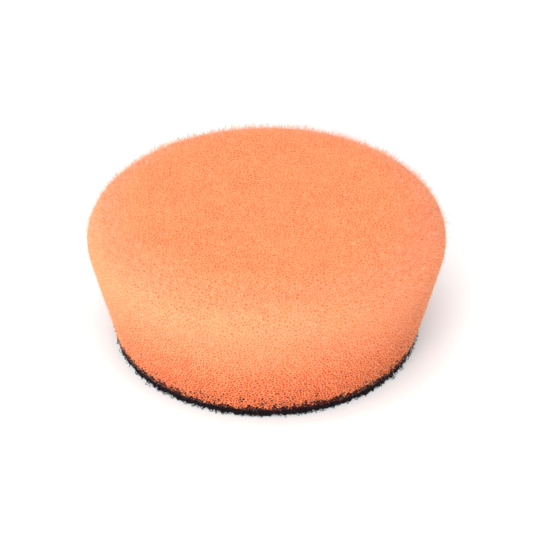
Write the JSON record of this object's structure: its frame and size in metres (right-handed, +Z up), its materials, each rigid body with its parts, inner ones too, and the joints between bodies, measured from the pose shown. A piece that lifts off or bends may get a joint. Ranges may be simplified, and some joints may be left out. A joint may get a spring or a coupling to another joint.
{
  "type": "polishing pad",
  "caption": "Small round foam polishing pad with a flat face, rounded rim, tapered flank and a hook-and-loop backing disc.",
  "frame": {"origin": "centre of the loop backing's underside, on the surface the pad rests on", "axes": "+Z up the pad's axis, from the loop backing to the working face; X and Y lie in the backing's plane, and the pad is round about Z"},
  "size_m": [0.076, 0.076, 0.032],
  "materials": {
    "foam": "open-cell polyurethane foam, orange, fine sponge grain, no gloss",
    "adhesive": "dark hot-melt film soaked into the lowest foam cells",
    "ground_knit": "black warp-knit polyester ground, die-cut edge",
    "loop_yarn": "black brushed loop pile with a soft sheen"
  },
  "bodies": {
    "root": {"foam_body": "foam", "bond_film": "adhesive", "loop_ground": "ground_knit", "loop_pile": "loop_yarn"}
  },
  "joints": []
}
